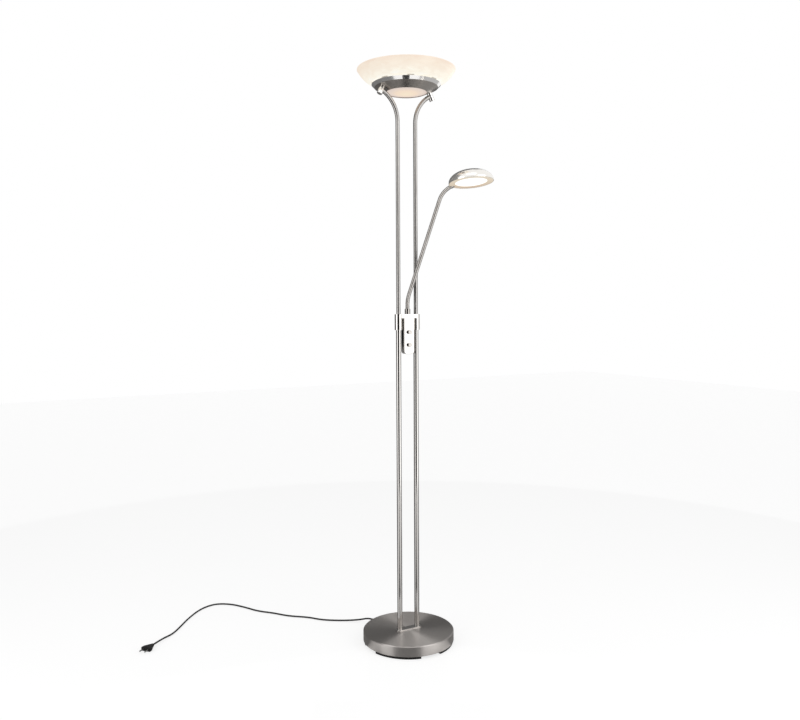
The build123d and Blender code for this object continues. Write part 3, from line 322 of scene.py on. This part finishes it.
@dataclass(frozen=True)
class LitGlass:
    """Glass or opal plastic that is lit from inside, with a change of colour along one axis."""

    name: str
    colour: str
    roughness: float
    stops: tuple[tuple[float, str], ...]
    strength: float
    low: tuple[float, float, float]
    axis: tuple[float, float, float]
    radial: bool = False
    cloud_mm: float = 40.0
    cloud: float = 0.0
    # the clouds' flattening, detail and swirl
    flatten: tuple[float, float, float] = (1.0, 1.0, 3.5)
    detail: float = 4.0
    swirl: float = 0.8
    noise_middle: float = 0.5

    def build(self) -> bpy.types.Material:
        """Make the material.

        Returns:
            The material.
        """
        material, tree, output = new_material(self.name)
        place = add_node(tree, "ShaderNodeTexCoord")
        moved = add_node(
            tree,
            "ShaderNodeVectorMath",
            {1: self.low},
            {0: place.outputs["Object"]},
            operation="SUBTRACT",
        )
        if self.radial:
            along = add_node(
                tree,
                "ShaderNodeVectorMath",
                {1: self.axis},
                {0: moved.outputs[0]},
                operation="MULTIPLY",
            )
            share = add_node(
                tree, "ShaderNodeVectorMath", links={0: along.outputs[0]}, operation="LENGTH"
            )
        else:
            share = add_node(
                tree,
                "ShaderNodeVectorMath",
                {1: self.axis},
                {0: moved.outputs[0]},
                operation="DOT_PRODUCT",
            )
        # faint marbling: cloudy bands lying nearly level in the glass
        level = add_node(
            tree,
            "ShaderNodeVectorMath",
            {1: self.flatten},
            {0: place.outputs["Object"]},
            operation="MULTIPLY",
        )
        clouds = add_node(
            tree,
            "ShaderNodeTexNoise",
            {
                "Scale": 1 / (self.cloud_mm * MM),
                "Detail": self.detail,
                "Distortion": self.swirl,
            },
            {"Vector": level.outputs[0]},
        )
        drift = add_node(
            tree,
            "ShaderNodeMath",
            {1: self.noise_middle},
            {0: clouds.outputs["Fac"]},
            operation="SUBTRACT",
        )
        offset = add_node(
            tree,
            "ShaderNodeMath",
            {1: self.cloud},
            {0: drift.outputs[0], 2: share.outputs["Value"]},
            operation="MULTIPLY_ADD",
        )
        ramp = add_node(tree, "ShaderNodeValToRGB", links={"Fac": offset.outputs[0]})
        colour_steps(ramp, self.stops)
        shader = add_node(
            tree,
            "ShaderNodeBsdfPrincipled",
            {
                "Base Color": linear(self.colour),
                "Roughness": self.roughness,
                "Emission Strength": self.strength,
            },
            {"Emission Color": ramp.outputs["Color"]},
        )
        tree.links.new(shader.outputs["BSDF"], output.inputs["Surface"])
        return material


# Where the glowing pieces lie, in metres: heights, radii and the reading head's middle.
BOWL_FOOT_Z = 1.752
BOWL_RISE = 0.048
COLLAR_LIP_Z = 1.7453
LOWER_GLASS_Z = 1.726
LOWER_GLASS_RADIUS = 0.066
OPAL_Z = 1.76
OPAL_RADIUS = 0.08
HEAD_CENTRE = (0.15199, -0.13156, 1.45)
HEAD_WINDOW_RADIUS = 0.054
# The head's lit ring fades from its near left to its far right edge.
RING_WIDTH = 0.138
RING_HEADING = (0.4908, 0.8713)
RING_START = (HEAD_CENTRE[0] - 0.034, HEAD_CENTRE[1] - 0.06, HEAD_CENTRE[2])

# Brushed nickel plate on spun steel: a warm mid grey, drawn into fans by its turned lines.
SPUN_NICKEL = Metal("spun brushed nickel plate", "#C0BBB7", 0.4, Grain.SPUN, 4.0, 0.94)
# The same plate on the collar: a brushed cone with soft fans under a polished lip, whose near white
# colour is a painted highlight of the bowl's light.
COLLAR_NICKEL = Metal(
    "turned nickel plate",
    "#B2ACA6",
    0.34,
    Grain.SPUN,
    4.0,
    0.88,
    # painted highlight: the lip's near white colour stands in for the bowl's light on it
    lip=PolishedLipPaintedHighlight(COLLAR_LIP_Z, "#F6F4F2", 0.12),
)
# Turned nickel knobs and ferrules: small clear highlights.
SMALL_NICKEL = Metal("small turned nickel pieces", "#ABA7A3", 0.2)
# Satin nickel tube: soft grey reflections with no sharp edge.
SATIN_TUBE = Metal("satin nickel tube", "#ABA8A5", 0.28)
# Bright nickel tube of the lower poles: crisp light and dark lines along it.
BRIGHT_TUBE = Metal("bright nickel tube", "#C4C1BE", 0.1)
# Bright nickel plate on the die-cast bracket: nearly a mirror, white and black in turn.
BRIGHT_NICKEL = Metal("bright nickel plate", "#E6E3DF", 0.1)
# Plated steel hose of the flexible arm: bright ribs with dark grooves.
HOSE_PLATE = Metal("plated steel hose", "#B5B1AD", 0.12)
# Polished head shell: a soft mirror, mostly white.
HEAD_PLATE = Metal("polished nickel shell", "#F2EFEA", 0.2)
# Zinc-plated steel of screws, studs and nuts: dull, slightly yellow grey.
ZINC = Metal("zinc-plated steel", "#A9A9A6", 0.35)
# Bare die-cast and sheet aluminium: pale and dull.
ALUMINIUM = Metal("bare aluminium", "#CFCFD0", 0.38)
# Cast iron: nearly black and rough.
CAST_IRON = Plain("cast iron", "#2B2A29", 0.8, 0.6)
# Foot rubber: black and matt.
FOOT_RUBBER = Plain("moulded foot rubber", "#111010", 0.75)
# Vinyl of the cord and leads: black with a dull sheen.
CORD_VINYL = Plain("black vinyl cord sheath", "#2B2929", 0.45)
# Vinyl of the plug and strain relief: a shade darker and smoother.
PLUG_VINYL = Plain("moulded black plug vinyl", "#1D1C1C", 0.4)
# Circuit board: green lacquer.
BOARD = Plain("glass-fibre circuit board", "#1F5A35", 0.5)
# Clear silicone of the gasket and spacers: pale and milky.
SILICONE = Plain("clear silicone bumper", "#D9D3C7", 0.4)
# Light chip: a yellow dot that glows.
LED_CHIP = Plain("phosphor light chip", "#E8C860", 0.4, glow="#FFE9B8", strength=1.6)
# Alabaster-look opal glass: cream, lighter towards the lamp in its foot, faintly clouded.
BOWL_GLASS = LitGlass(
    "alabaster-look opal glass",
    "#8C8276",
    0.35,
    ((0.0, "#FFFFF8"), (0.2, "#FFFAEC"), (0.45, "#F9EFE0"), (0.8, "#F4E6D5"), (1.0, "#F1DFCE")),
    0.84,
    (0, 0, BOWL_FOOT_Z),
    (0, 0, 1 / BOWL_RISE),
    cloud_mm=35,
    cloud=0.9,
)
# Frosted glass under the collar: amber in the middle, pinkish grey at its edge.
LOWER_GLASS = LitGlass(
    "frosted lower glass",
    "#7A6E64",
    0.5,
    ((0.0, "#FFF0D4"), (0.45, "#FCE6CF"), (0.8, "#E9DAD0"), (1.0, "#DCCBC2")),
    0.84,
    (0, 0, LOWER_GLASS_Z),
    (1 / LOWER_GLASS_RADIUS, 1 / LOWER_GLASS_RADIUS, 0),
    radial=True,
)
# Opal cover over the upper light: white, warmer at its edge.
OPAL = LitGlass(
    "opal acrylic cover",
    "#8A8478",
    0.4,
    ((0.0, "#FFFFFF"), (0.6, "#FFF8E8"), (1.0, "#F6E6CC")),
    0.95,
    (0, 0, OPAL_Z),
    (1 / OPAL_RADIUS, 1 / OPAL_RADIUS, 0),
    radial=True,
)
# Window of the reading head: white all over with a warm edge.
HEAD_OPAL = LitGlass(
    "opal acrylic head window",
    "#8A8478",
    0.4,
    ((0.0, "#FFFFFF"), (0.9, "#FFFFFF"), (1.0, "#FBF0DD")),
    1.1,
    HEAD_CENTRE,
    (1 / HEAD_WINDOW_RADIUS, 1 / HEAD_WINDOW_RADIUS, 0),
    radial=True,
)
# Ring round the window: lit from inside, cream to tan.
HEAD_RING = LitGlass(
    "lit acrylic ring",
    "#7C7263",
    0.4,
    ((0.0, "#F4EBDA"), (0.45, "#EEDFC8"), (1.0, "#D9C2AA")),
    0.72,
    RING_START,
    (RING_HEADING[0] / RING_WIDTH, RING_HEADING[1] / RING_WIDTH, 0),
)

FINISHES: dict[Metal | Plain | LitGlass, tuple[str, ...]] = {
    SPUN_NICKEL: ("base_cover",),
    COLLAR_NICKEL: ("collar",),
    SMALL_NICKEL: ("gooseneck_socket", "head_neck", "upper_knob", "lower_knob"),
    SATIN_TUBE: ("upper_tubes",),
    BRIGHT_TUBE: ("lower_tubes", "foot_plate"),
    BRIGHT_NICKEL: ("cross_bracket", "control_box", "control_back", "knuckles"),
    HOSE_PLATE: ("hose_root", "hose_lower_run", "hose_upper_run", "hose_tip"),
    HEAD_PLATE: ("head_shell",),
    ZINC: (
        "base_plate", "base_screws", "pole_studs", "stud_nuts", "bracket_set_screws",
        "box_screws", "dimmer_pots", "upper_knob_shaft", "lower_knob_shaft",
        "gooseneck_nipple", "nipple_nut", "collar_links", "bowl_screws", "plug_pins",
    ),
    ALUMINIUM: ("led_carrier", "uplight_heatsink", "glass_clamp", "head_heatsink"),
    CAST_IRON: ("base_weight",),
    FOOT_RUBBER: ("foot_ring",),
    CORD_VINYL: ("cord", "mains_lead", "uplight_lead"),
    PLUG_VINYL: ("plug", "cord_gland"),
    BOARD: ("dimmer_board", "uplight_board", "downlight_board", "head_led_board"),
    SILICONE: ("glass_gasket", "glass_spacers"),
    LED_CHIP: ("uplight_leds", "downlight_leds", "reading_leds"),
    BOWL_GLASS: ("glass_bowl",),
    LOWER_GLASS: ("lower_glass",),
    OPAL: ("opal_cover",),
    HEAD_OPAL: ("head_diffuser",),
    HEAD_RING: ("head_bezel",),
}


def clear_selection() -> None:
    """Deselect every object."""
    bpy.ops.object.select_all(action="DESELECT")


@dataclass
class Camera:
    """The photograph's viewpoint, found from the lamp's own circles."""

    place: tuple[float, float, float] = (-1.26134, -2.19212, 1.06937)
    azimuth_deg: float = -29.39
    pitch_deg: float = 3.716
    roll_deg: float = -0.272
    lens_mm: float = 36.222
    sensor_mm: float = 36.0
    near: float = 0.05
    far: float = 60.0

    def build(self) -> None:
        """Add the camera and make it the scene's own."""
        azimuth = math.radians(self.azimuth_deg)
        pitch = math.radians(self.pitch_deg)
        roll = math.radians(self.roll_deg)
        level = Vector((-math.sin(azimuth), math.cos(azimuth), 0))
        forward = level * math.cos(pitch) - Vector((0, 0, math.sin(pitch)))
        side = Vector((math.cos(azimuth), math.sin(azimuth), 0))
        top = side.cross(forward)
        right = side * math.cos(roll) + top * math.sin(roll)
        up = top * math.cos(roll) - side * math.sin(roll)
        bpy.ops.object.camera_add(location=self.place)
        camera = bpy.context.object
        camera.name = "camera"
        turn = Matrix((right, up, -forward)).transposed().to_4x4()
        camera.matrix_world = Matrix.Translation(self.place) @ turn
        camera.data.lens = self.lens_mm
        camera.data.sensor_width = self.sensor_mm
        camera.data.clip_start = self.near
        camera.data.clip_end = self.far
        bpy.context.scene.camera = camera


def heading(azimuth_deg: float, elevation_deg: float = 0.0) -> Vector:
    """Unit vector from the lamp towards an azimuth and an elevation.

    Args:
        azimuth_deg: Degrees round the lamp, 0 in front of the knobs and 90 on its right.
        elevation_deg: Degrees above the floor.

    Returns:
        The unit vector.
    """
    azimuth = math.radians(azimuth_deg)
    elevation = math.radians(elevation_deg)
    return Vector(
        (
            math.sin(azimuth) * math.cos(elevation),
            -math.cos(azimuth) * math.cos(elevation),
            math.sin(elevation),
        )
    )


@dataclass(frozen=True)
class Panel:
    """One soft light panel of the studio, facing the lamp."""

    name: str
    azimuth_deg: float
    elevation_deg: float
    distance: float
    width: float
    height: float
    radiance: float
    aim: tuple[float, float, float] = (0, 0, 1.2)

    def build(self) -> None:
        """Add the panel as an area light that the camera doesn't see."""
        away = heading(self.azimuth_deg, self.elevation_deg)
        bpy.ops.object.light_add(type="AREA", location=Vector(self.aim) + away * self.distance)
        light = bpy.context.object
        light.name = self.name
        light.rotation_euler = away.to_track_quat("Z", "Y").to_euler()
        light.data.shape = "RECTANGLE"
        light.data.size = self.width
        light.data.size_y = self.height
        light.data.energy = self.radiance * math.pi * self.width * self.height
        light.visible_camera = False


@dataclass(frozen=True, kw_only=True)
class Card:
    """A grey card that only reflections see."""

    name: str
    level: float

    def place(self) -> bpy.types.Object:
        """Add the card's plane.

        Returns:
            The plane.
        """
        raise NotImplementedError

    def build(self) -> bpy.types.Object:
        """Add the card in its plain grey and hide it from all but reflections.

        Returns:
            The card.
        """
        clear_selection()
        card = self.place()
        card.name = self.name
        bpy.ops.object.transform_apply(location=True, rotation=True, scale=True)
        material, tree, output = new_material(f"grey card {self.name}")
        grey = add_node(tree, "ShaderNodeEmission", {"Strength": self.level})
        tree.links.new(grey.outputs[0], output.inputs["Surface"])
        material.cycles.emission_sampling = "NONE"
        card.data.materials.append(material)
        card.visible_camera = False
        card.visible_diffuse = False
        card.visible_shadow = False
        card.visible_transmission = False
        return card


@dataclass(frozen=True, kw_only=True)
class WallCard(Card):
    """A card that stands round the lamp."""

    start_deg: float
    end_deg: float
    bottom: float = -0.1
    top: float = 3.6
    radius: float

    def place(self) -> bpy.types.Object:
        """Add the card's plane, a chord of a circle round the lamp.

        Returns:
            The plane.
        """
        half = math.radians(self.end_deg - self.start_deg) / 2
        away = heading((self.start_deg + self.end_deg) / 2)
        middle = away * self.radius * math.cos(half)
        middle.z = (self.bottom + self.top) / 2
        bpy.ops.mesh.primitive_plane_add(size=1)
        card = bpy.context.object
        card.scale = (2 * self.radius * math.sin(half), self.top - self.bottom, 1)
        card.location = middle
        card.rotation_euler = away.to_track_quat("Z", "Y").to_euler()
        return card


@dataclass(frozen=True, kw_only=True)
class FloorSector(Card):
    """A card flat on the floor, a sector of a disc round the lamp."""

    start_deg: float
    end_deg: float
    radius: float
    height: float = 0.0005
    vertices: int = 72

    def place(self) -> bpy.types.Object:
        """Add the card's sector.

        Returns:
            The sector.
        """
        bpy.ops.mesh.primitive_circle_add(
            vertices=self.vertices,
            radius=self.radius,
            fill_type="TRIFAN",
            location=(0, 0, self.height),
        )
        card = bpy.context.object
        bpy.ops.object.mode_set(mode="EDIT")
        bpy.ops.mesh.select_mode(type="FACE")
        bpy.ops.mesh.select_all(action="DESELECT")
        bpy.ops.object.mode_set(mode="OBJECT")
        span = self.end_deg - self.start_deg
        for face in card.data.polygons:
            azimuth = math.degrees(math.atan2(face.center.x, -face.center.y))
            face.select = (azimuth - self.start_deg) % 360 > span
        bpy.ops.object.mode_set(mode="EDIT")
        bpy.ops.mesh.delete(type="FACE")
        bpy.ops.object.mode_set(mode="OBJECT")
        return card


@dataclass(frozen=True, kw_only=True)
class FloorStrip(Card):
    """A straight card on the floor that leads away from the base."""

    azimuth_deg: float
    start: float = 0.0
    length: float
    width: float
    height: float

    def place(self) -> bpy.types.Object:
        """Add the card's strip.

        Returns:
            The strip.
        """
        away = heading(self.azimuth_deg)
        bpy.ops.mesh.primitive_plane_add(size=1)
        card = bpy.context.object
        card.scale = (self.width, self.length, 1)
        card.location = away * (self.start + self.length / 2) + Vector((0, 0, self.height))
        card.rotation_euler = (0, 0, math.atan2(away.y, away.x) - math.pi / 2)
        return card


# Soft panels left and right of the camera, which draw the light lines on the poles.
PANELS = (
    Panel("left_strip", -83, 0, 2.2, 1.2, 2.6, 1.1),
    Panel("right_strip", 24, 0, 2.2, 1.6, 2.6, 1.25),
    Panel("high_front_panel", -29, 55, 2.4, 1.6, 1.4, 0.5),
)
# Grey cards that give the metal its darks.
CARDS = (
    # behind the camera: the dark line down the middle of each pole
    WallCard(name="front", start_deg=-66, end_deg=0, top=1.95, radius=2.5, level=0.03),
    # behind the lamp: the base's grey top and the dark sides of the box and sleeves
    WallCard(name="left_back", start_deg=-139, end_deg=-100, radius=2.0, level=0.26),
    WallCard(name="back_left", start_deg=-175, end_deg=-139, radius=2.0, level=0.2),
    WallCard(
        name="box_side",
        start_deg=-158,
        end_deg=-143,
        bottom=0.85,
        top=1.15,
        radius=1.9,
        level=0.01,
    ),
    WallCard(name="back", start_deg=-229, end_deg=-175, radius=2.0, level=0.18),
    WallCard(name="back_right", start_deg=-300, end_deg=-229, top=1.42, radius=1.4, level=0.5),
    # on the floor: the collar's grey cone, the base side's dark middle, and the
    # dark marks in the middle of the collar's lip and of its cone
    FloorSector(name="floor_back", start_deg=46, end_deg=260, radius=2.4, level=0.22),
    FloorStrip(
        name="floor_front", azimuth_deg=-31, length=2.4, width=0.24, height=0.0005, level=0.3
    ),
    FloorStrip(
        name="lip_line",
        azimuth_deg=-31,
        start=0.4,
        length=1.4,
        width=0.5,
        height=0.001,
        level=0.03,
    ),
    FloorStrip(
        name="cone_line",
        azimuth_deg=149,
        start=0.3,
        length=2.0,
        width=0.5,
        height=0.001,
        level=0.02,
    ),
)


@dataclass
class Studio:
    """White cove, grey cards and soft panels."""

    surround: str = "#B4B4B4"
    floor_colour: str = "#B0B0B0"
    floor_glow: float = 0.72
    floor_size: float = 16.0
    floor_gap: float = 0.0005
    paper_roughness: float = 0.9
    panels: tuple[Panel, ...] = PANELS
    cards: tuple[Card, ...] = CARDS

    def build(self) -> None:
        """Add the world, the floor, the cards and the panels."""
        self._world()
        self._floor()
        for card in self.cards:
            card.build()
            LOG.info("card %s", card.name)
        for panel in self.panels:
            panel.build()
            LOG.info("panel %s", panel.name)

    def _world(self) -> None:
        """White to the camera, to reflections and through glass, plain grey as a light."""
        world = bpy.data.worlds.new("cove")
        world.use_nodes = True
        bpy.context.scene.world = world
        tree = world.node_tree
        tree.nodes.clear()
        seen = seen_rays(tree)
        white = add_node(tree, "ShaderNodeBackground", {"Color": linear("#FFFFFF")})
        grey = add_node(tree, "ShaderNodeBackground", {"Color": linear(self.surround)})
        mix = add_node(
            tree,
            "ShaderNodeMixShader",
            links={0: seen, 1: grey.outputs[0], 2: white.outputs[0]},
        )
        add_node(tree, "ShaderNodeOutputWorld", links={"Surface": mix.outputs[0]})

    def _floor(self) -> None:
        """A seamless white paper floor that keeps a soft shadow."""
        clear_selection()
        bpy.ops.mesh.primitive_plane_add(size=self.floor_size, location=(0, 0, -self.floor_gap))
        floor = bpy.context.object
        floor.name = "paper_floor"
        material, tree, output = new_material("white background paper")
        paper = add_node(
            tree,
            "ShaderNodeBsdfPrincipled",
            {"Base Color": linear(self.floor_colour), "Roughness": self.paper_roughness},
        )
        # the glow fills the paper up to white and leaves the shadow in it
        glow = add_node(tree, "ShaderNodeEmission", {"Strength": self.floor_glow})
        both = add_node(
            tree, "ShaderNodeAddShader", links={0: paper.outputs[0], 1: glow.outputs[0]}
        )
        mix = add_node(
            tree,
            "ShaderNodeMixShader",
            links={0: seen_rays(tree), 1: paper.outputs[0], 2: both.outputs[0]},
        )
        tree.links.new(mix.outputs[0], output.inputs["Surface"])
        material.cycles.emission_sampling = "NONE"
        floor.data.materials.append(material)


def seen_rays(tree: bpy.types.NodeTree) -> bpy.types.NodeSocket:
    """Pick out the rays that show a background.

    Args:
        tree: Node tree that gets the nodes.

    Returns:
        One for camera, glossy and transmission rays and zero for the others.
    """
    path = add_node(tree, "ShaderNodeLightPath")
    first = add_node(
        tree,
        "ShaderNodeMath",
        links={0: path.outputs["Is Camera Ray"], 1: path.outputs["Is Glossy Ray"]},
        operation="MAXIMUM",
    )
    both = add_node(
        tree,
        "ShaderNodeMath",
        links={0: first.outputs[0], 1: path.outputs["Is Transmission Ray"]},
        operation="MAXIMUM",
    )
    return both.outputs[0]


@dataclass
class MainsCord:
    """The black flex from the base's strain relief to its plug, lying on the floor."""

    route_mm: tuple[tuple[float, float, float], ...]
    length: float
    diameter_mm: float = 5.5
    order: int = 3
    steps: int = 8
    round_steps: int = 3

    def build(self, material: bpy.types.Material) -> bpy.types.Object:
        """Lay the flex along its route.

        Args:
            material: The sheath's material.

        Returns:
            The flex.
        """
        clear_selection()
        bpy.ops.curve.primitive_nurbs_path_add()
        flex = bpy.context.object
        flex.name = "mains_flex"
        curve = flex.data
        curve.splines.clear()
        line = curve.splines.new("NURBS")
        line.points.add(len(self.route_mm) - 1)
        for point, place in zip(line.points, self.route_mm):
            point.co = (*[v * MM for v in place], 1)
        line.order_u = self.order
        line.use_endpoint_u = True
        line.resolution_u = self.steps
        curve.dimensions = "3D"
        curve.bevel_depth = self.diameter_mm * MM / 2
        curve.bevel_resolution = self.round_steps
        curve.use_fill_caps = True
        curve.materials.append(material)
        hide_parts("cord")
        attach(flex, "stand")
        return flex


@dataclass(frozen=True)
class Bend:
    """A length of the hose that bends between two bodies."""

    node: str
    lower: str
    upper: str
    start: tuple[float, float, float]
    end: tuple[float, float, float]


@dataclass
class FlexibleArm:
    """The hose's three bending lengths, copied from the solids."""

    bends: tuple[Bend, ...]
    merge: float = 1e-6

    def build(self, material: bpy.types.Material) -> list[bpy.types.Object]:
        """Make each bending length.

        Args:
            material: The hose's plated finish.

        Returns:
            The bending lengths.
        """
        made = []
        for bend in self.bends:
            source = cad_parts[bend.node]
            mesh = source.data.copy()
            length = bpy.data.objects.new(f"{bend.node}_length", mesh)
            bpy.context.scene.collection.objects.link(length)
            clear_selection()
            length.select_set(True)
            bpy.context.view_layer.objects.active = length
            bpy.ops.object.mode_set(mode="EDIT")
            bpy.ops.mesh.select_all(action="SELECT")
            bpy.ops.mesh.remove_doubles(threshold=self.merge)
            bpy.ops.object.mode_set(mode="OBJECT")
            mesh.materials.clear()
            mesh.materials.append(material)
            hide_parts(bend.node)
            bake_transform(length)
            LOG.info("bending length %s", bend.node)
            made.append(length)
        return made


@dataclass
class Lamp:
    """The whole lamp: solids dressed with their finishes, and the soft pieces."""

    cord: MainsCord
    arm: FlexibleArm

    def build(self) -> None:
        """Dress the solids and build the soft pieces."""
        made = {finish: finish.build() for finish in FINISHES}
        self.cord.build(made[CORD_VINYL])
        LOG.info("cord laid")
        self.arm.build(made[HOSE_PLATE])
        for finish, nodes in FINISHES.items():
            for node in nodes:
                self._dress(node, made[finish])

    @staticmethod
    def _dress(node: str, material: bpy.types.Material) -> None:
        """Give a solid its material.

        Args:
            node: Name of the solid.
            material: Its finish.
        """
        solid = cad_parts[node]
        solid.data.materials.clear()
        solid.data.materials.append(material)
        LOG.info("dressed %s with %s", node, material.name)


# The flex leaves the strain relief, drops to the floor, runs to the back left and turns back.
CORD = MainsCord(
    route_mm=(
        (-34.72, 163.35, 16.5),
        (-41.17, 193.67, 16.5),
        (-70.00, 215.00, 8),
        (-117.00, 249.00, 3),
        (-176.00, 290.00, 3),
        (-205.00, 335.00, 3),
        (-262.00, 380.00, 3),
        (-297.00, 433.00, 3),
        (-338.00, 476.00, 3),
        (-366.00, 535.00, 3),
        (-398.00, 588.00, 3),
        (-440.00, 618.00, 3),
        (-478.00, 614.00, 3),
        (-520.00, 588.00, 3),
        (-572.00, 530.00, 3),
        (-614.00, 471.00, 3),
        (-650.00, 425.00, 3),
        (-688.00, 396.00, 7),
        (-726.00, 362.40, 7),
    ),
    length=1.014,
)
# Each bend with the bodies it joins and the ends of its length.
ARM = FlexibleArm(
    bends=(
        Bend(
            "hose_bend_low",
            "arm_base",
            "arm_lower",
            (0.0, -0.002, 1.06869),
            (0.01084, -0.00852, 1.1339),
        ),
        Bend(
            "hose_bend_mid",
            "arm_lower",
            "arm_upper",
            (0.03773, -0.02467, 1.22929),
            (0.05565, -0.03544, 1.29288),
        ),
        Bend(
            "hose_bend_high",
            "arm_upper",
            "reading_head",
            (0.08253, -0.05159, 1.38827),
            (0.11426, -0.07066, 1.44185),
        ),
    )
)


def main() -> None:
    """Build the camera, the lamp and the studio."""
    logging.basicConfig(level=logging.INFO, format="%(name)s: %(message)s")
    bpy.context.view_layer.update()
    Camera().build()
    Lamp(cord=CORD, arm=ARM).build()
    Studio().build()
    bpy.context.scene.view_settings.view_transform = "Standard"


if __name__ == "__main__":
    main()
